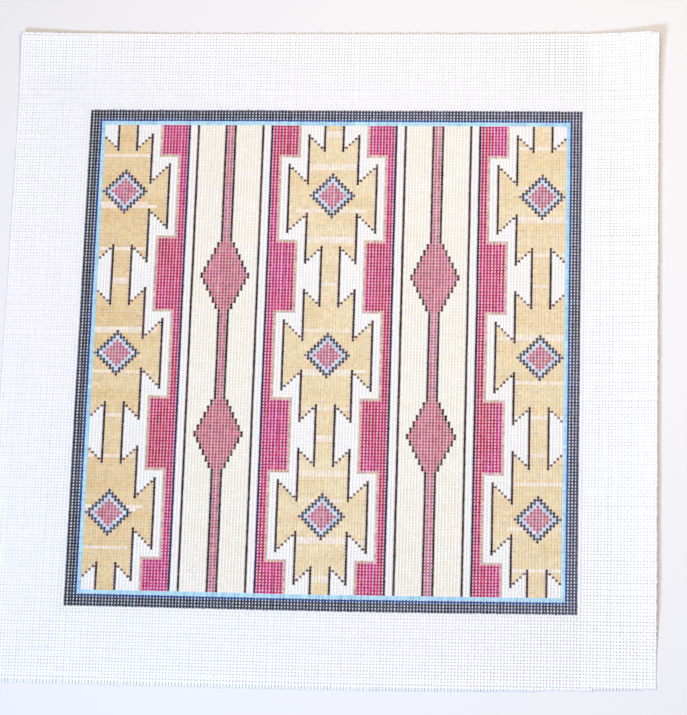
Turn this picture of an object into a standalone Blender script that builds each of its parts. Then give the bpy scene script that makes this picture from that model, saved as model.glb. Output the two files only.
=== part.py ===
"""A needlepoint canvas panel: one cut square of open cotton canvas with a painted field.

The canvas lies flat on its underside at z = 0, centred on the origin, with the top of its design
towards +Y. It keeps a little of the curl of the roll that it was cut from, so its right edge and
both top corners stand off the surface. The painted field is colour alone and has no height.
"""

import bpy
from mathutils import Vector

# The weave: ten threads to the inch each way
THREAD_PITCH = 0.00254
CLOTH_THICKNESS = 0.0013

# Threads across the painted field, and the bare margins round it
FIELD_COLUMNS = 159
FIELD_ROWS = 161
SIDE_MARGIN = 0.0610
TOP_MARGIN = 0.0665
BOTTOM_MARGIN = 0.0620

WIDTH = THREAD_PITCH * FIELD_COLUMNS + 2 * SIDE_MARGIN
LENGTH = THREAD_PITCH * FIELD_ROWS + TOP_MARGIN + BOTTOM_MARGIN
RIGHT = WIDTH / 2
TOP = LENGTH / 2

# Cells of the sheet, fine enough to round the curls
CELLS_ACROSS = 44
CELLS_ALONG = 44

# Where the shears strayed into the canvas. Each stray is widest at its corner and starts from
# the true line at some distance along the edge. They cut it in straight snips, each a whole
# number of cells long.
SNIP_CELLS = 8
SNIP = SNIP_CELLS * WIDTH / CELLS_ACROSS
#        corner          side   inward   distance from the corner to its start
STRAYS = (
    ("bottom_right", RIGHT, 0.0060, 0.300),
    ("top_left", -RIGHT, 0.0020, 0.160),
    ("top_right", RIGHT, 0.0024, 0.140),
)

# Where the canvas stands off the surface. Each lift is highest at its place on the rim and has
# died away at its reach from there.
#        name            x       y     height  reach x  reach y
LIFTS = (
    ("top_left_corner", -RIGHT, TOP, 0.0065, 0.170, 0.070),
    ("top_right_corner", RIGHT, TOP, 0.0070, 0.140, 0.080),
)
# The right edge curls up along its whole length. It comes down again over the landing, and lies
# flat at the bottom corner.
EDGE_CURL_HEIGHT = 0.0045
EDGE_CURL_REACH = 0.060
EDGE_CURL_LANDING = 0.060
FLAT_CORNER = 0.020

CANVAS_WHITE = (0.86, 0.87, 0.90, 1.0)
CANVAS_ROUGHNESS = 0.85


def clear_scene():
    """Remove what the opened file holds."""
    for old in list(bpy.data.objects):
        bpy.data.objects.remove(old, do_unlink=True)


def make_collection(name):
    """A collection in the scene for the panel's pieces."""
    collection = bpy.data.collections.new(name)
    bpy.context.scene.collection.children.link(collection)
    return collection


def make_material(name, colour, roughness):
    """A plain matt finish."""
    material = bpy.data.materials.new(name)
    material.use_nodes = True
    shader = material.node_tree.nodes["Principled BSDF"]
    shader.inputs["Base Color"].default_value = colour
    shader.inputs["Roughness"].default_value = roughness
    shader.inputs["Metallic"].default_value = 0.0
    return material


def fade(distance, reach):
    """1 at no distance, falling in a parabola to 0 at the reach."""
    return max(0.0, 1.0 - distance / reach) ** 2


def snipped_fade(distance, reach):
    """The same fall, but in a straight run for every snip."""
    snip = int(distance / SNIP)
    share = distance / SNIP - snip
    near, far = fade(snip * SNIP, reach), fade((snip + 1) * SNIP, reach)
    return near + share * (far - near)


def smooth_step(share):
    """0 below 0 and 1 above 1, with a smooth rise between."""
    share = min(1.0, max(0.0, share))
    return share * share * (3.0 - 2.0 * share)


def cut_edge(edge, x):
    """The y of the cut along the top or the bottom at a place across the canvas."""
    inward = sum(
        depth * snipped_fade(abs(x - side), start)
        for corner, side, depth, start in STRAYS
        if corner.startswith(edge)
    )
    return TOP - inward if edge == "top" else inward - TOP


def underside(x, y):
    """How far the underside stands off the surface at a place on the canvas."""
    landing = smooth_step((y + TOP - FLAT_CORNER) / EDGE_CURL_LANDING)
    height = EDGE_CURL_HEIGHT * fade(RIGHT - x, EDGE_CURL_REACH) * landing
    for _name, lift_x, lift_y, lift_height, reach_x, reach_y in LIFTS:
        height += lift_height * fade(abs(x - lift_x), reach_x) * fade(abs(y - lift_y), reach_y)
    return height


def make_canvas(collection):
    """The sheet: a grid on the canvas's outline, lifted at its rim and given its thickness."""
    bpy.ops.mesh.primitive_grid_add(
        x_subdivisions=CELLS_ACROSS, y_subdivisions=CELLS_ALONG, size=1.0, location=(0, 0, 0)
    )
    canvas = bpy.context.object
    canvas.name = canvas.data.name = "canvas"
    for vertex in canvas.data.vertices:
        across, along = vertex.co.x, vertex.co.y + 0.5
        x = across * WIDTH
        low, high = cut_edge("bottom", x), cut_edge("top", x)
        y = low + along * (high - low)
        vertex.co = Vector((x, y, underside(x, y)))

    thickness = canvas.modifiers.new("thickness", "SOLIDIFY")
    thickness.thickness = CLOTH_THICKNESS
    thickness.offset = 1.0
    thickness.use_even_offset = True

    canvas.data.materials.append(make_material("canvas_cotton", CANVAS_WHITE, CANVAS_ROUGHNESS))
    canvas.data.shade_smooth()
    for other in list(canvas.users_collection):
        other.objects.unlink(canvas)
    collection.objects.link(canvas)
    return canvas


def main():
    clear_scene()
    make_canvas(make_collection("needlepoint_canvas_panel"))


main()
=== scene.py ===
import math
import random

import bmesh
import bpy
import numpy as np
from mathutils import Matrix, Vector
from mathutils.bvhtree import BVHTree


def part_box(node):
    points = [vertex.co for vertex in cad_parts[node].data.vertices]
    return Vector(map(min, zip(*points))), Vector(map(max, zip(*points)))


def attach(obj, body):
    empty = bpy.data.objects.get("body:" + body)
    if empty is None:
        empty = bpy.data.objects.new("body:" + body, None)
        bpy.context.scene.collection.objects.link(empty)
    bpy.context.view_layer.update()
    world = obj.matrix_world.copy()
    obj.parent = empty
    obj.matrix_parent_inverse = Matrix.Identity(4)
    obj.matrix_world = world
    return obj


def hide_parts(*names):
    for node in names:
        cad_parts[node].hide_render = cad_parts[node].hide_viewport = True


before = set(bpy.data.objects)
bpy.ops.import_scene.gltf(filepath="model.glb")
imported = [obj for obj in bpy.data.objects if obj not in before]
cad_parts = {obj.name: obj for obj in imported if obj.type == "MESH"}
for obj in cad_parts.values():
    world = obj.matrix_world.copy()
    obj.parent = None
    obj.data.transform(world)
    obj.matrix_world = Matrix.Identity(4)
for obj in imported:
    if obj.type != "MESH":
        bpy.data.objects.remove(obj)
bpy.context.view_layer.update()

# Painted needlepoint canvas, woven thread by thread on the frame's sheet, curled rim and all.
# Columns are warp threads and count from the left of the painted field, rows are weft
# threads and count from its top. The bare margins have columns and rows below 0 too.

canvasLow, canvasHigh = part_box("canvas")

weave = {
    "pitch": 0.00254,         # from thread to thread, ten to the inch
    "weftWidth": 0.00108,     # the sizing has pressed the threads flat, the warps most of all
    "warpWidth": 0.00168,
    "threadHeight": 0.00018,
    "sides": 5,               # of a thread's section, one of them on top
    "crimp": 0.00009,         # rise and dip of a thread from the middle of the cloth
    "clothMiddle": 0.00019,   # height of that middle over the underside
    "fieldColumns": 159,
    "fieldRows": 161,
    "fieldCentreY": -0.00275,   # the field lies a little below the canvas's middle
    "lostWefts": 1,           # gone from the bottom edge, which leaves a short fringe
    "spare": 0.4,             # threads that a piece reaches past its outer ones
    "mergeWithin": 0.0001,    # where one repeat of a thread meets the next
}

# where each random draw starts. The warps' swell, ends and paint edges start one further on.
seeds = {"paint": 41, "drift": 42, "swell": 43, "ends": 45, "edges": 47, "brush": 17}

pitch = weave["pitch"]
fieldColumns = weave["fieldColumns"]
fieldRows = weave["fieldRows"]
middleColumn = (fieldColumns - 1) // 2
middleRow = (fieldRows - 1) // 2


def columnX(column):
    return (column - middleColumn) * pitch


def rowY(row):
    return weave["fieldCentreY"] + (middleRow - row) * pitch


def columnAt(x):
    return x / pitch + middleColumn


def rowAt(y):
    return middleRow - (y - weave["fieldCentreY"]) / pitch


# the margins hold whole threads
firstColumn = math.ceil(columnAt(canvasLow[0]) + 0.5)
lastColumn = math.floor(columnAt(canvasHigh[0]) - 0.5)
firstRow = math.ceil(rowAt(canvasHigh[1]) + 0.5)
lastRow = math.floor(rowAt(canvasLow[1]) - 0.5)
lastWeft = lastRow - weave["lostWefts"]

# tables of crossings have one more crossing on every side than the cloth
tableColumn = np.arange(firstColumn - 1, lastColumn + 2)
tableRow = np.arange(firstRow - 1, lastRow + 2)
tableColumns = len(tableColumn)
tableRows = len(tableRow)
print("weave:", lastColumn - firstColumn + 1, "warps by", lastWeft - firstRow + 1, "wefts")


# a thread's section is a regular polygon on its point, pressed flat. The lists have the weft's
# value first and then the warp's, as everything that is looked up by the way a thread runs.
halfTurn = math.pi / weave["sides"]
threadWidth = (weave["weftWidth"], weave["warpWidth"])
sectionRadius = [width / 2 / math.sin(2 * halfTurn) for width in threadWidth]
sectionFlatness = [
    weave["threadHeight"] / radius / (1 + math.cos(halfTurn)) for radius in sectionRadius
]


# The chart of the painted field. Its parts count threads from the middle of their repeat.
chart = {
    "bandRepeat": 67,         # columns from one line of medallions to the next
    "medallionRepeat": 51,    # rows from one medallion to the next
    "borderDark": 4,          # threads of the dark border
    "borderBlue": 1,
    # columns from a medallion's middle to the last of the blocks beside it, to the thin blue
    # line after them, and to the black edge of the band of long diamonds
    "blocksEnd": 19,
    "inkLine": 20,
    "bandEdge": 23,
    # half a long diamond's width and height, from its middle between two threads
    "longDiamondWidth": 7.5,
    "longDiamondHeight": 10.5,
    "longDiamondRows": 60,    # long diamonds stay this near to the middle row
    # the painter's slips: how many rows too high the top diamonds lie, from left to right, and
    # how far down its lower half the top left medallion's outline lies one row too high
    "topDiamondRise": (2, 1, 1),
    "slippedRows": 14,
}


def foldBack(offset, repeat):
    # threads from the nearest middle of a repeat
    return abs((offset + repeat / 2) % repeat - repeat / 2)


def borderPaint(column, row):
    inward = min(column, row, fieldColumns - 1 - column, fieldRows - 1 - row)
    if inward < chart["borderDark"] - 1:
        return "charcoal"
    if inward == chart["borderDark"] - 1:
        return "royalBlue"
    if inward < chart["borderDark"] + chart["borderBlue"]:
        return "lightBlue"
    return None


def smallDiamondPaint(across, down):
    # in rings round its middle
    ring = across + down
    if ring <= 4:
        return "paleRose"
    if ring == 5:
        return "paleBlue"
    if ring == 6:
        return "navy"
    if ring == 7:
        return "blackDot" if down == 0 else "brownInk"
    return None


def medallionPaint(across, down):
    # stepped and serrated outline, one quarter of it
    if across == 14 and down <= 11:
        return "black"
    if across == 8 and 5 <= down <= 21:
        return "black"
    if across == 3 and down >= 16:
        return "black"
    if 9 <= across <= 13 and down == across - 3:
        return "blackDot"
    if 4 <= across <= 7 and down == across + 13:
        return "blackDot"
    if across <= 2:
        return "gold"
    if across == 3 and down <= 15:
        return "gold"
    if 4 <= across <= 7 and down <= across + 12:
        return "gold"
    if across == 8 and down <= 4:
        return "gold"
    if 9 <= across <= 13 and down <= across - 4:
        return "gold"
    return None


def steppedBlockPaint(across, down):
    # the blocks reach in between the medallions, with a tan line along their edge
    if down < 14:
        if across == 17:
            return "tan"
        return "magenta" if across >= 18 else None
    if across <= 10:
        return None
    if across == 11 or (down == 14 and across <= 17):
        return "tan"
    return "magenta"


def longDiamondPaint(fromStem, fromMiddle):
    # the stem is two threads wide between two black ones, so the threads lie at half steps
    halfWidth = chart["longDiamondWidth"] - math.ceil((fromMiddle - 0.5) / 2)
    if fromMiddle <= chart["longDiamondHeight"]:
        if fromStem == halfWidth:
            return "black"
        if fromStem < halfWidth:
            return "rose"
    if fromStem == 1.5:
        return "black"
    if fromStem == 0.5:
        return "stemRose"
    return None


def paintAt(column, row):
    if not (0 <= column < fieldColumns and 0 <= row < fieldRows):
        return "bare"
    paint = borderPaint(column, row)
    if paint:
        return paint
    across = foldBack(column - middleColumn, chart["bandRepeat"])
    down = foldBack(row - middleRow, chart["medallionRepeat"])
    if across <= chart["blocksEnd"]:
        diamondDown = down
        line = round((column - middleColumn) / chart["bandRepeat"])
        belowTop = row - middleRow + chart["medallionRepeat"]
        if belowTop < chart["medallionRepeat"] / 2:
            diamondDown = abs(belowTop + chart["topDiamondRise"][line + 1])
            if line == -1 and 0 < belowTop <= chart["slippedRows"]:
                down += 1
        paint = smallDiamondPaint(across, diamondDown)
        return paint or medallionPaint(across, down) or steppedBlockPaint(across, down) or "white"
    if across == chart["inkLine"]:
        return "inkBlue"
    if across < chart["bandEdge"]:
        return "white"
    if across == chart["bandEdge"]:
        return "black"
    fromMiddle = chart["medallionRepeat"] / 2 - down
    if abs(row - middleRow) > chart["longDiamondRows"]:
        fromMiddle = chart["medallionRepeat"]
    return longDiamondPaint(chart["bandRepeat"] / 2 - across, fromMiddle) or "cream"


# Each paint's colour on a thread and the one that it drifts to (sRGB), its unevenness, and how
# far it runs from its crossing along the wefts and along the warps, in threads. It drifts in
# streaks along the warps, or along the wefts where it was brushed that way. Some paints also
# move toward that colour across the field, below, with painted shade at the field's left.
paints = {
    "bare": ((0.965, 0.968, 0.974), (0.965, 0.968, 0.974), 0.004, (0.50, 0.50)),
    "white": ((0.975, 0.970, 0.950), (0.980, 0.975, 0.965), 0.006, (0.50, 0.50)),
    "charcoal": ((0.19, 0.21, 0.26), (0.32, 0.33, 0.43), 0.030, (0.52, 0.52)),
    "royalBlue": ((0.13, 0.26, 0.50), (0.20, 0.40, 0.66), 0.030, (0.45, 0.45)),
    "inkBlue": ((0.31, 0.14, 0.45), (0.20, 0.18, 0.16), 0.030, (0.42, 0.42)),
    "navy": ((0.25, 0.32, 0.44), (0.30, 0.36, 0.48), 0.040, (0.47, 0.47)),
    "brownInk": ((0.38, 0.28, 0.26), (0.42, 0.30, 0.26), 0.040, (0.44, 0.44)),
    "black": ((0.24, 0.18, 0.18), (0.34, 0.22, 0.19), 0.055, (0.41, 0.44)),
    "blackDot": ((0.42, 0.34, 0.32), (0.52, 0.40, 0.35), 0.050, (0.38, 0.40)),
    "lightBlue": ((0.60, 0.84, 0.96), (0.72, 0.90, 0.98), 0.030, (0.64, 0.64)),
    "paleBlue": ((0.76, 0.83, 0.89), (0.82, 0.87, 0.92), 0.035, (0.56, 0.56)),
    "gold": ((0.895, 0.75, 0.485), (0.955, 0.88, 0.71), 0.018, (0.47, 0.47)),
    "cream": ((0.978, 0.955, 0.885), (0.983, 0.965, 0.920), 0.008, (0.48, 0.48)),
    "tan": ((0.79, 0.67, 0.56), (0.88, 0.73, 0.70), 0.040, (0.38, 0.42)),
    "rose": ((0.75, 0.39, 0.44), (0.79, 0.44, 0.55), 0.030, (0.47, 0.47)),
    "stemRose": ((0.76, 0.44, 0.51), (0.82, 0.53, 0.63), 0.030, (0.48, 0.48)),
    "paleRose": ((0.74, 0.42, 0.50), (0.78, 0.47, 0.56), 0.030, (0.49, 0.49)),
    "magenta": ((0.74, 0.20, 0.32), (0.80, 0.21, 0.55), 0.035, (0.48, 0.48)),
}
brushedAcross = ("white", "gold", "cream")
streak = (16, 3)              # length and width of a streak, in threads
darkest = 0.01                # no channel of a paint is darker

# how far these move to their second colour at the left, the middle and the right of the field.
# Gold, charcoal, royal blue and tan are darker at the left: painted shade where the light falls
# off. Ink blue turns browner to the right. The colour takes the mean of this and the streaks.
fieldDriftAndShade = {
    "gold": (0.0, 1.0, 0.9),
    "charcoal": (0.0, 0.5, 1.0),
    "inkBlue": (0.0, 0.5, 1.0),
    "royalBlue": (0.0, 0.6, 0.4),
    "tan": (0.0, 0.5, 1.0),
}

brush = {
    "dryColour": (0.985, 0.925, 0.875),   # where the brush ran dry on the gold
    "apart": (7, 15),         # rows from one dry stroke to the next
    "deep": (1, 1, 2),        # rows that a dry stroke takes up
    "reach": (7, 14),         # threads that it runs to either side of a medallion's middle
    "strength": (0.6, 1.0),   # how dry it is at either end of the stroke
}


def linear(channel):
    # from sRGB, by its standard curve
    channel = min(1, max(darkest, channel))
    return channel / 12.92 if channel <= 0.04045 else ((channel + 0.055) / 1.055) ** 2.4


def mixColour(first, second, share):
    return tuple(a + (b - a) * share for a, b in zip(first, second))


def makeDryStrokes():
    # how dry the brush was at each crossing: strokes run right across a line of medallions
    dry = np.zeros((tableRows, tableColumns))
    rng = random.Random(seeds["brush"])
    for line in (-1, 0, 1):
        centre = middleColumn + line * chart["bandRepeat"] - tableColumn[0]
        row = rng.randint(*brush["apart"]) - tableRow[0]
        while row < fieldRows - tableRow[0]:
            for _row in range(rng.choice(brush["deep"])):
                left = max(0, centre - rng.randint(*brush["reach"]))
                right = centre + rng.randint(*brush["reach"])
                ends = [rng.uniform(*brush["strength"]) for _end in range(2)]
                dry[row, left:right] = np.linspace(*ends, right - left)
                row += 1
            row += rng.randint(*brush["apart"])
    return dry


def makeStreaks(rng, longRows):
    # smooth noise over the crossings, from random values some way apart each way
    stepColumns, stepRows = reversed(streak) if longRows else streak
    knots = rng.random((tableRows // stepRows + 3, tableColumns // stepColumns + 3))
    rows = np.arange(tableRows) / stepRows
    columns = np.arange(tableColumns) / stepColumns
    tall = np.array([np.interp(rows, np.arange(len(line)), line) for line in knots.T]).T
    return np.array([np.interp(columns, np.arange(len(line)), line) for line in tall])


def makePaintTables():
    # colour and reach of the paint at every crossing
    rng = random.Random(seeds["paint"])
    streakRng = np.random.default_rng(seeds["paint"])
    alongWefts = makeStreaks(streakRng, False)
    alongWarps = makeStreaks(streakRng, True)
    dry = makeDryStrokes()
    colour = np.ones((tableRows, tableColumns, 4))
    reach = np.full((2, tableRows, tableColumns), 0.5)
    for r, row in enumerate(tableRow.tolist()):
        for c, column in enumerate(tableColumn.tolist()):
            name = paintAt(column, row)
            tone, driftTone, unevenness, spread = paints[name]
            streakAndShade = (alongWefts if name in brushedAcross else alongWarps)[r, c]
            # painted shade across the field: gold, charcoal, royal blue and tan are darker at the
            # left
            if name in fieldDriftAndShade:
                shadeAndDriftShare = np.interp(column, (0, middleColumn, fieldColumns), fieldDriftAndShade[name])
                streakAndShade = (streakAndShade + shadeAndDriftShare) / 2
            tone = mixColour(tone, driftTone, streakAndShade)
            if name == "gold":
                tone = mixColour(tone, brush["dryColour"], dry[r, c])
            shade = rng.gauss(0, unevenness)
            uneven = [channel + shade + rng.gauss(0, unevenness / 2) for channel in tone]
            colour[r, c, :3] = [linear(channel) for channel in uneven]
            reach[:, r, c] = spread
    return colour, reach


print("chart: painting", fieldColumns, "by", fieldRows, "crossings")
paintColour, paintReach = makePaintTables()


# How the threads stray from the true grid. Shares are of the pitch unless a note says otherwise.
drift = {
    "threadJitter": 0.035,    # the same all along a thread
    "waviness": 0.040,        # slow waves along a thread
    "wave": 9,                # length of those waves, in threads
    "slub": 0.06,             # share by which a thread swells and thins
    "slubLength": 5,          # in threads
    # columns, and how thick the threads are there: the field's thin out from left to right
    "thicknessAt": (0, 158, 161),
    "thickness": (1.02, 0.94, 1.05),
    # bare threads are wider than those that the paint has set, and most so at the cuts:
    # threads past the field, and how much wider the wefts and the warps are there
    "spreadAt": (0, 3, 25),
    "spread": ((1, 1.82, 2.06), (1, 1.15, 1.24)),
    "liftedSpread": 0.20,     # share by which they are wider still where the cloth lifts most
    "widest": 0.92,           # no bare thread is wider
    "endsUneven": 0.10,       # the shears left the thread ends uneven
    "shortestEnd": 0.3,       # least length of an end past its last crossing
    "fringeSway": 0.05,       # how far the loose ends lean for each lost weft
    "paintEdge": 0.04,        # how unevenly one paint stops at the next
    # where the warps lie off the true grid: columns, and how far to the right in metres
    "crowdedAt": (-10, 0, 25, 42, 56, 85, 105, 125, 158, 170),
    "crowdedBy": (0, 0.0004, 0.0009, 0.0007, 0.0005, 0.0008, 0.0004, 0.0001, 0, 0),
    # the same for the wefts: rows, and how far up
    "crowdedRows": (0, 15, 45, 80, 105, 140, 160),
    "crowdedUp": (0, 0.0003, 0, -0.0003, -0.0004, -0.0005, 0),
    # columns, and how far up the top and the bottom rows lie there
    "risingAt": (0, 55, 80, 115, 158),
    "topRise": (0, 0, -0.0003, -0.0004, -0.0006),
    "bottomRise": (0, -0.0003, -0.0004, 0.0001, 0.0011),
}


def slowNoise(rng, count, step):
    # smooth noise along a line of crossings, from random values some way apart
    knots = count // step + 3
    values = [rng.uniform(-1, 1) for _knot in range(knots)]
    return np.interp(np.arange(count) / step, np.arange(knots), values)


def makeDrift():
    # sideways and lengthwise shift of every crossing
    rng = random.Random(seeds["drift"])
    x = np.zeros((tableRows, tableColumns))
    y = np.zeros((tableRows, tableColumns))
    lost = np.clip(tableRow - lastWeft, 0, None)
    for c in range(tableColumns):
        x[:, c] = rng.gauss(0, drift["threadJitter"])
        x[:, c] += drift["waviness"] * slowNoise(rng, tableRows, drift["wave"])
        x[:, c] += rng.gauss(0, drift["fringeSway"]) * lost
    for r in range(tableRows):
        y[r, :] = rng.gauss(0, drift["threadJitter"])
        y[r, :] += drift["waviness"] * slowNoise(rng, tableColumns, drift["wave"])
    crowding = np.interp(tableColumn, drift["crowdedAt"], drift["crowdedBy"])
    x += crowding[None, :] / pitch
    topRise = np.interp(tableColumn, drift["risingAt"], drift["topRise"])
    bottomRise = np.interp(tableColumn, drift["risingAt"], drift["bottomRise"])
    # down the field the top's rise fades evenly, and the bottom's comes in late
    fromTop = np.clip(tableRow / fieldRows, 0, 1)[:, None]
    rise = topRise[None, :] * (1 - fromTop) + bottomRise[None, :] * fromTop ** 3
    rise += np.interp(tableRow, drift["crowdedRows"], drift["crowdedUp"])[:, None]
    return x * pitch, y * pitch + rise


# How the frame's sheet is found beside its cut edge
search = {
    "inward": (1, 0.998, 0.995, 0.99, 0.98, 0.97, 0.95),   # shares of a place's x and y
    "reach": 1.5,             # threads along which a thread's cut is looked for
    "halvings": 7,
}


def makeSheetTree():
    mesh = bpy.data.objects["canvas"].data
    points = [vertex.co for vertex in mesh.vertices]
    faces = [tuple(face.vertices) for face in mesh.polygons]
    return BVHTree.FromPolygons(points, faces)


def undersideAt(x, y):
    # height of the cloth's underside, or None beside the cloth
    below = Vector((x, y, canvasLow[2] - pitch))
    hit, _normal, _face, _distance = sheetTree.ray_cast(below, Vector((0, 0, 1)))
    return hit.z if hit else None


def nearUndersideAt(x, y):
    # the same, but a place beside the cloth takes the height of a place just inside
    for share in search["inward"]:
        height = undersideAt(x * share, y * share)
        if height is not None:
            return height
    return 0


def lengthToCut(x, y, forward):
    # from a place on the cloth along a thread to the cut edge, by halving
    inside = 0
    outside = search["reach"] * pitch
    for _halving in range(search["halvings"]):
        half = (inside + outside) / 2
        if undersideAt(x + forward[0] * half, y + forward[1] * half) is None:
            outside = half
        else:
            inside = half
    return inside


sheetTree = makeSheetTree()
driftX, driftY = makeDrift()
underside = np.array([
    [nearUndersideAt(columnX(column), rowY(row)) for column in tableColumn.tolist()]
    for row in tableRow.tolist()
])
print("frame: the cloth stands off by up to", round(underside.max() * 1000, 1), "mm")


def onlySelect(obj):
    bpy.ops.object.select_all(action="DESELECT")
    obj.select_set(True)
    bpy.context.view_layer.objects.active = obj


def selectWhere(obj, kind, wanted):
    # in edit mode, selects the verts, edges or faces that pass the test
    mesh = bmesh.from_edit_mesh(obj.data)
    kinds = ("verts", "edges", "faces")
    bpy.context.tool_settings.mesh_select_mode = tuple(kind == k for k in kinds)
    bpy.ops.mesh.select_all(action="DESELECT")
    for element in getattr(mesh, kind):
        if wanted(element):
            element.select_set(True)
    mesh.select_flush_mode()
    bmesh.update_edit_mesh(obj.data)


def makeThreadPair(name, along, start):
    # two threads side by side, each dipping at its ends and rising in between, the second one
    # a crossing further on. start is the crossing where the first thread begins.
    forward = Vector((0, 0, 0))
    forward[along] = pitch
    sideways = Vector((0, 0, 0))
    sideways[1 - along] = pitch
    middle = start + forward
    middle.z = weave["clothMiddle"] - weave["crimp"]
    bpy.ops.object.select_all(action="DESELECT")
    bpy.ops.mesh.primitive_cylinder_add(
        vertices=weave["sides"], radius=sectionRadius[along], depth=2 * pitch,
        end_fill_type="NOTHING", location=middle,
        rotation=(-math.pi / 2, 0, math.pi / 2 * (1 - along)),
    )
    thread = bpy.context.object
    thread.name = thread.data.name = name
    bpy.ops.object.transform_apply(location=True, rotation=True, scale=True)

    bpy.ops.object.mode_set(mode="EDIT")
    bpy.ops.mesh.select_all(action="SELECT")
    bpy.ops.transform.resize(value=(1, 1, sectionFlatness[along]), center_override=middle)
    selectWhere(thread, "edges", lambda edge: edge.calc_length() > pitch)
    bpy.ops.mesh.subdivide(number_cuts=1)
    selectWhere(thread, "verts", lambda vertex: abs(vertex.co[along] - middle[along]) < pitch / 2)
    bpy.ops.transform.translate(value=(0, 0, 2 * weave["crimp"]))
    bpy.ops.mesh.select_all(action="SELECT")
    bpy.ops.mesh.duplicate()
    bpy.ops.transform.translate(value=forward + sideways)
    bpy.ops.object.mode_set(mode="OBJECT")
    return thread


def repeat(obj, name, count, axis, merge):
    # the weave repeats every two threads
    array = obj.modifiers.new(name, "ARRAY")
    array.count = count
    array.use_relative_offset = False
    array.use_constant_offset = True
    array.constant_offset_displace = [2 * pitch if i == axis else 0 for i in range(3)]
    array.use_merge_vertices = merge
    array.merge_threshold = weave["mergeWithin"]
    onlySelect(obj)
    bpy.ops.object.modifier_apply(modifier=array.name)


def weaveThreads(name, along, columns, rows):
    # along is 1 for warps and 0 for wefts. columns and rows are the first and last of the piece,
    # and the threads run on for one crossing past them at both ends.
    if along == 1:
        rows = (rows[0] - 1, rows[1] + 1)
    else:
        columns = (columns[0] - 1, columns[1] + 1)
    startColumn = columns[0] - (1 - along)
    startRow = rows[1] + along
    # a warp dips where its column and row add up to an odd number, and a weft at an even one
    if (startColumn + startRow + along) % 2:
        startColumn -= 1 - along
        startRow += along
    piece = makeThreadPair(name, along, Vector((columnX(startColumn), rowY(startRow), 0)))
    steps = (columns[1] - startColumn, startRow - rows[0])
    repeat(piece, "along the thread", (steps[along] + 2) // 2, along, True)
    repeat(piece, "across the cloth", (steps[1 - along] + 2) // 2, 1 - along, False)

    spare = weave["spare"] * pitch
    low = (columnX(columns[0]) - spare, rowY(rows[1]) - spare)
    high = (columnX(columns[1]) + spare, rowY(rows[0]) + spare)

    def cutOff(face):
        # by the middle line of the face's thread, so that a thread is cut right through
        x, y, _z = face.calc_center_median()
        if not (low[0] < x < high[0] and low[1] < y < high[1]):
            return True
        if along == 1:
            return undersideAt(columnX(round(columnAt(x))), y) is None
        return undersideAt(x, rowY(round(rowAt(y)))) is None

    bpy.ops.object.mode_set(mode="EDIT")
    selectWhere(piece, "faces", cutOff)
    bpy.ops.mesh.delete(type="FACE")
    bpy.ops.mesh.select_all(action="SELECT")
    bpy.ops.mesh.fill_holes(sides=weave["sides"])
    bpy.ops.mesh.select_all(action="SELECT")
    bpy.ops.mesh.normals_make_consistent(inside=False)
    bpy.ops.object.mode_set(mode="OBJECT")
    return piece


def moveEnds(placed, along, thread, ring):
    # each thread stops at the cut, or a little to either side of it
    rng = random.Random(seeds["ends"] + along)
    order = np.lexsort((ring, thread))
    starts = np.flatnonzero(np.diff(thread[order], prepend=-1))
    for mine in np.split(order, starts[1:]):
        for last, inward in ((ring[mine].min(), 1), (ring[mine].max(), -1)):
            end = mine[ring[mine] == last]
            before = placed[mine[ring[mine] == last + inward]].mean(axis=0)
            forward = placed[end].mean(axis=0) - before
            forward = forward[:2] / np.hypot(*forward[:2])
            threads = lengthToCut(before[0], before[1], forward) / pitch
            threads = max(drift["shortestEnd"], threads + rng.gauss(0, drift["endsUneven"]))
            tip = before[:2] + forward * (threads * pitch)
            placed[end, :2] += tip - placed[end, :2].mean(axis=0)


def placeThreads(piece, along):
    # moves the threads from the true grid to where they stray, on the cloth of the frame.
    # Gives each point's column, row and offset from the middle of its thread.
    mesh = piece.data
    points = np.empty(len(mesh.vertices) * 3)
    mesh.vertices.foreach_get("co", points)
    points = points.reshape(-1, 3)
    column = np.rint(columnAt(points[:, 0])).astype(int)
    row = np.rint(rowAt(points[:, 1])).astype(int)
    up = np.where((column + row + along) % 2 == 1, 1, -1)
    centre = np.stack([columnX(column), rowY(row), weave["clothMiddle"] + weave["crimp"] * up], 1)
    offset = points - centre

    c = column - tableColumn[0]
    r = row - tableRow[0]
    thread, ring = (c, r) if along == 1 else (r, c)
    rng = random.Random(seeds["swell"] + along)
    longest = max(tableColumns, tableRows)
    swell = [slowNoise(rng, longest, drift["slubLength"]) for _thread in range(longest)]
    fat = 1 + drift["slub"] * np.array(swell)[thread, ring]
    fat *= np.interp(column, drift["thicknessAt"], drift["thickness"])
    beside = np.maximum(abs(column - middleColumn) - middleColumn, abs(row - middleRow) - middleRow)
    wider = np.interp(beside, drift["spreadAt"], drift["spread"][along])
    wider *= 1 + drift["liftedSpread"] * underside[r, c] / underside.max()
    widest = drift["widest"] * pitch / threadWidth[along]
    wider = np.minimum(wider, widest)
    if along == 1:
        # loose ends have no wefts to hold them together
        wider[row > lastWeft] = widest
    spread = np.ones((len(points), 3))
    spread[:, 1 - along] = wider
    centre += np.stack([driftX[r, c], driftY[r, c], underside[r, c]], 1)
    placed = centre + offset * fat[:, None] * spread
    moveEnds(placed, along, thread, ring)
    mesh.vertices.foreach_set("co", placed.ravel())
    mesh.update()
    return column, row, offset


# The map for baking lays the threads out side by side, each in a strip from 0 to 1
bakeMap = {
    "corners": (0.02, 0.14, 0.34, 0.66, 0.86, 0.98),   # of the section, its upper side widest
    "endWidth": 0.4,          # half the size of a thread's end there, both ways
    "endLength": 0.3,
}


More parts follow.
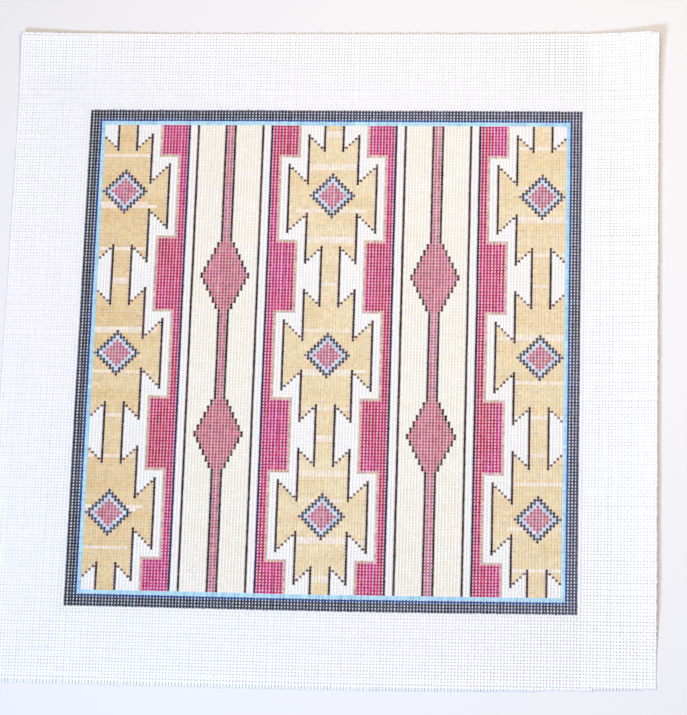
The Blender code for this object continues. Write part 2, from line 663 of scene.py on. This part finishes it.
def paintThreads(piece, along, column, row, offset):
    # every face lies between two crossings, here and next, and takes the paint of both.
    # alongStep tells the material how far it is from the one to the other. The paint that runs
    # the furthest or stops the shortest of the two rules their edge.
    mesh = piece.data
    corners = np.empty(len(mesh.loops), dtype=np.int32)
    mesh.loops.foreach_get("vertex_index", corners)
    starts = np.empty(len(mesh.polygons), dtype=np.int32)
    mesh.polygons.foreach_get("loop_start", starts)
    face = np.repeat(np.arange(len(starts)), np.diff(np.append(starts, len(corners))))
    c = (column - tableColumn[0])[corners]
    r = (row - tableRow[0])[corners]
    thread, ring = (c, r) if along == 1 else (r, c)
    hereC = np.minimum.reduceat(c, starts)
    hereR = np.minimum.reduceat(r, starts)
    nextC = np.maximum.reduceat(c, starts)
    nextR = np.maximum.reduceat(r, starts)
    reach = paintReach[along]
    reachHere = reach[hereR, hereC]
    reachNext = reach[nextR, nextC]
    nextRules = abs(reachNext - 0.5) > abs(reachHere - 0.5)
    stopHere = np.where(nextRules, 1 - reachNext, reachHere)
    stopHere[reachHere == reachNext] = 0.5
    edgeRng = np.random.default_rng(seeds["edges"] + along)
    stopHere += edgeRng.normal(0, drift["paintEdge"], len(starts))
    hereRing = np.minimum.reduceat(ring, starts)
    addLayer(mesh, "paintHere", "FLOAT_COLOR", "FACE", "color", paintColour[hereR, hereC])
    addLayer(mesh, "paintNext", "FLOAT_COLOR", "FACE", "color", paintColour[nextR, nextC])
    addLayer(mesh, "stopHere", "FLOAT", "FACE", "value", stopHere)
    addLayer(mesh, "alongStep", "FLOAT", "CORNER", "value", ring - hereRing[face])

    # two maps: one round and along every thread for its twist, and one for baking
    sides = weave["sides"]
    lateral = (offset[:, 1 - along] / sectionRadius[along])[corners]
    upward = (offset[:, 2] / sectionRadius[along] / sectionFlatness[along])[corners]
    around = np.rint(np.arctan2(lateral, -upward) / math.tau * sides) % sides / sides
    isLastSide = np.maximum.reduceat(around, starts)[face] > 1 - 1.5 / sides
    around[(around == 0) & isLastSide] = 1
    addLayer(mesh, "threadWrap", "FLOAT2", "CORNER", "vector", np.stack([around, ring], axis=1))

    u = thread - thread.min() + np.interp(around, np.arange(sides + 1) / sides, bakeMap["corners"])
    v = ring - ring.min() + 1.0
    isEnd = (np.maximum.reduceat(ring, starts) == hereRing)[face]
    outward = np.where(ring > (ring.min() + ring.max()) / 2, 1, -1)
    u[isEnd] = (thread - thread.min() + 0.5 + bakeMap["endWidth"] * lateral)[isEnd]
    v[isEnd] += (outward * (0.5 + bakeMap["endLength"] * upward))[isEnd]
    u /= thread.max() - thread.min() + 1
    v /= ring.max() - ring.min() + 2
    addLayer(mesh, "OFBake", "FLOAT2", "CORNER", "vector", np.stack([u, v], axis=1))


def addLayer(mesh, name, kind, domain, key, values):
    layer = mesh.attributes.new(name, kind, domain)
    layer.data.foreach_set(key, np.ascontiguousarray(values, dtype=np.float32).ravel())


# The finish of the threads. Lengths are in metres, turns and blur in threads.
cotton = {
    "roughness": (0.70, 0.92),
    "specular": 0.25,
    "sheen": 0.1,
    "sheenRoughness": 0.6,
    "edgeBlur": 0.05,         # how sharply one paint stops at the next
    "edgeWobble": 0.10,
    "underCover": 0.22,       # share of the paint that soaks through to the underside
    "thinning": (-0.7, 0.0),  # height of a face's normal where that share and where all is left
    "mottleSize": 0.0011,
    "mottleDetail": 3,
    "mottleRange": (0.3, 0.7),   # of the noise that is used
    "darker": 0.03,           # shares by which the mottle is darker and lighter
    "lighter": 0.0075,
    "twists": 2.0,            # turns of the plies for each thread passed
    "plies": 2,
    "plyScale": 0.5,
    "plyDistortion": 0.6,
    "plyDepth": 0.00006,
    "fibreDepth": 0.00003,
}


def addNode(tree, kind, **settings):
    node = tree.nodes.new(kind)
    for key, value in settings.items():
        setattr(node, key, value)
    return node


def readLayer(tree, name):
    return addNode(tree, "ShaderNodeAttribute", attribute_name=name)


def mathNode(tree, operation, first, second):
    node = addNode(tree, "ShaderNodeMath", operation=operation)
    for socket, value in zip(node.inputs, (first, second)):
        if hasattr(value, "is_linked"):
            tree.links.new(value, socket)
        else:
            socket.default_value = value
    return node.outputs[0]


def rangeNode(tree, value, fromLow, fromHigh, toLow, toHigh):
    node = addNode(tree, "ShaderNodeMapRange", clamp=True)
    for socket, given in zip(node.inputs, (value, fromLow, fromHigh, toLow, toHigh)):
        if hasattr(given, "is_linked"):
            tree.links.new(given, socket)
        else:
            socket.default_value = given
    return node.outputs[0]


def mixNode(tree, share, first, second, blend="MIX"):
    # of this node's sockets, 0 is the share, 6 and 7 are the two colours and 2 is their mix
    node = addNode(tree, "ShaderNodeMix", data_type="RGBA", blend_type=blend)
    for index, value in ((0, share), (6, first), (7, second)):
        if hasattr(value, "is_linked"):
            tree.links.new(value, node.inputs[index])
        else:
            node.inputs[index].default_value = value
    return node.outputs[2]


def makePaintedThread():
    material = bpy.data.materials.new("painted cotton thread")
    material.use_nodes = True
    tree = material.node_tree
    shader = tree.nodes["Principled BSDF"]
    place = addNode(tree, "ShaderNodeTexCoord").outputs["Object"]

    mottle = addNode(tree, "ShaderNodeTexNoise")
    mottle.inputs["Scale"].default_value = 1 / cotton["mottleSize"]
    mottle.inputs["Detail"].default_value = cotton["mottleDetail"]
    tree.links.new(place, mottle.inputs["Vector"])
    noise = mottle.outputs["Fac"]

    # one paint gives way to the next part of the way between two crossings
    most = cotton["edgeWobble"]
    wobble = rangeNode(tree, noise, *cotton["mottleRange"], -most, most)
    step = mathNode(tree, "ADD", readLayer(tree, "alongStep").outputs["Fac"], wobble)
    turn = readLayer(tree, "stopHere").outputs["Fac"]
    before = mathNode(tree, "SUBTRACT", turn, cotton["edgeBlur"])
    after = mathNode(tree, "ADD", turn, cotton["edgeBlur"])
    paint = mixNode(
        tree,
        rangeNode(tree, step, before, after, 0, 1),
        readLayer(tree, "paintHere").outputs["Color"],
        readLayer(tree, "paintNext").outputs["Color"],
    )

    # paint lies on the upper side and only partly soaks through
    normal = addNode(tree, "ShaderNodeNewGeometry").outputs["Normal"]
    apart = addNode(tree, "ShaderNodeSeparateXYZ")
    tree.links.new(normal, apart.inputs[0])
    cover = rangeNode(tree, apart.outputs["Z"], *cotton["thinning"], cotton["underCover"], 1)
    bare = tuple(linear(channel) for channel in paints["bare"][0]) + (1,)
    coloured = mixNode(tree, cover, bare, paint)
    light = rangeNode(
        tree, noise, *cotton["mottleRange"], 1 - cotton["darker"], 1 + cotton["lighter"]
    )
    shaded = mixNode(tree, 1, coloured, light, "MULTIPLY")
    tree.links.new(shaded, shader.inputs["Base Color"])

    rough = rangeNode(tree, noise, *cotton["mottleRange"], *cotton["roughness"])
    tree.links.new(rough, shader.inputs["Roughness"])
    shader.inputs["Specular IOR Level"].default_value = cotton["specular"]
    shader.inputs["Sheen Weight"].default_value = cotton["sheen"]
    shader.inputs["Sheen Roughness"].default_value = cotton["sheenRoughness"]

    # two plies twisted round each other, with fine fibres over them
    wrap = addNode(tree, "ShaderNodeUVMap", uv_map="threadWrap").outputs["UV"]
    turned = addNode(tree, "ShaderNodeMapping")
    turned.inputs["Scale"].default_value = (cotton["plies"], cotton["twists"], 1)
    tree.links.new(wrap, turned.inputs["Vector"])
    plies = addNode(tree, "ShaderNodeTexWave", wave_type="BANDS", bands_direction="DIAGONAL")
    plies.inputs["Scale"].default_value = cotton["plyScale"]
    plies.inputs["Distortion"].default_value = cotton["plyDistortion"]
    tree.links.new(turned.outputs["Vector"], plies.inputs["Vector"])
    plyBump = addNode(tree, "ShaderNodeBump")
    plyBump.inputs["Distance"].default_value = cotton["plyDepth"]
    tree.links.new(plies.outputs["Fac"], plyBump.inputs["Height"])
    fibreBump = addNode(tree, "ShaderNodeBump")
    fibreBump.inputs["Distance"].default_value = cotton["fibreDepth"]
    tree.links.new(noise, fibreBump.inputs["Height"])
    tree.links.new(plyBump.outputs["Normal"], fibreBump.inputs["Normal"])
    tree.links.new(fibreBump.outputs["Normal"], shader.inputs["Normal"])
    return material


threadMaterial = makePaintedThread()


def makePiece(name, along, columns, rows):
    piece = weaveThreads(name, along, columns, rows)
    column, row, offset = placeThreads(piece, along)
    paintThreads(piece, along, column, row, offset)
    piece.data.materials.append(threadMaterial)
    piece.data.shade_smooth()
    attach(piece, "root")
    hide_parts("canvas")
    print("threads:", name, "has", len(piece.data.polygons), "faces")


def thirds(first, last):
    # the cloth is too fine for one mesh each way, so three pieces share its threads
    count = last - first + 1
    cuts = [first + count * i // 3 for i in range(4)]
    return [(cuts[i], cuts[i + 1] - 1) for i in range(3)]


for place, columns in zip(("left", "middle", "right"), thirds(firstColumn, lastColumn)):
    makePiece("warps_" + place, 1, columns, (firstRow, lastRow))
for place, rows in zip(("upper", "middle", "lower"), thirds(firstRow, lastWeft)):
    makePiece("wefts_" + place, 0, (firstColumn, lastColumn), rows)


# The floor that the canvas lies on, the light and the camera. Angles are in degrees.
studio = {
    "floorColour": (0.905, 0.905, 0.905),
    "floorRoughness": 0.9,
    "floorSize": 6.0,
    "floorGap": 0.0002,       # between the floor and the canvas, which lies on it
    "skyColour": (1.0, 0.78, 0.66),
    "skyStrength": 0.34,
    # the cool key comes from the left front, and the warm lamp hangs over the upper right.
    # Each has its place, size, strength and colour.
    "key": ((-0.80, -1.30, 1.70), 0.5, 39.5, (0.50, 0.72, 1.0)),
    "lamp": ((0.20, 0.24, 1.00), 0.6, 7.20, (1.0, 0.90, 0.80)),
    "cameraPlace": (0.1927, -0.4083, 1.8640),
    "cameraTurn": (12.331, 5.088, 1.808),
    "lens": 125.76,
    "sensor": 36.0,
}


def makeFloor():
    bpy.ops.object.select_all(action="DESELECT")
    bpy.ops.mesh.primitive_plane_add(
        size=studio["floorSize"], location=(0, 0, canvasLow[2] - studio["floorGap"])
    )
    floor = bpy.context.object
    floor.name = "floor"
    material = bpy.data.materials.new("pale floor")
    material.use_nodes = True
    shader = material.node_tree.nodes["Principled BSDF"]
    shader.inputs["Base Color"].default_value = [linear(c) for c in studio["floorColour"]] + [1]
    shader.inputs["Roughness"].default_value = studio["floorRoughness"]
    floor.data.materials.append(material)


def makeLight():
    world = bpy.data.worlds.new("soft sky")
    bpy.context.scene.world = world
    world.use_nodes = True
    sky = world.node_tree.nodes["Background"]
    sky.inputs["Color"].default_value = (*studio["skyColour"], 1)
    sky.inputs["Strength"].default_value = studio["skyStrength"]
    for name in ("key", "lamp"):
        place, size, strength, colour = studio[name]
        bpy.ops.object.light_add(type="AREA", location=place)
        light = bpy.context.object
        light.name = name
        light.data.size = size
        light.data.energy = strength
        light.data.color = colour
        # the key looks at the middle of the canvas, and the lamp straight down
        aim = Vector((0, 0, 0)) if name == "key" else Vector((place[0], place[1], 0))
        light.rotation_euler = (aim - Vector(place)).to_track_quat("-Z", "Y").to_euler()


def makeCamera():
    bpy.ops.object.camera_add(
        location=studio["cameraPlace"],
        rotation=[math.radians(angle) for angle in studio["cameraTurn"]],
    )
    camera = bpy.context.object
    camera.data.sensor_fit = "HORIZONTAL"
    camera.data.sensor_width = studio["sensor"]
    camera.data.lens = studio["lens"]
    camera.data.dof.use_dof = False
    bpy.context.scene.camera = camera


makeFloor()
makeLight()
makeCamera()
bpy.context.scene.view_settings.view_transform = "Standard"
print("stage: floor, light and camera are set")
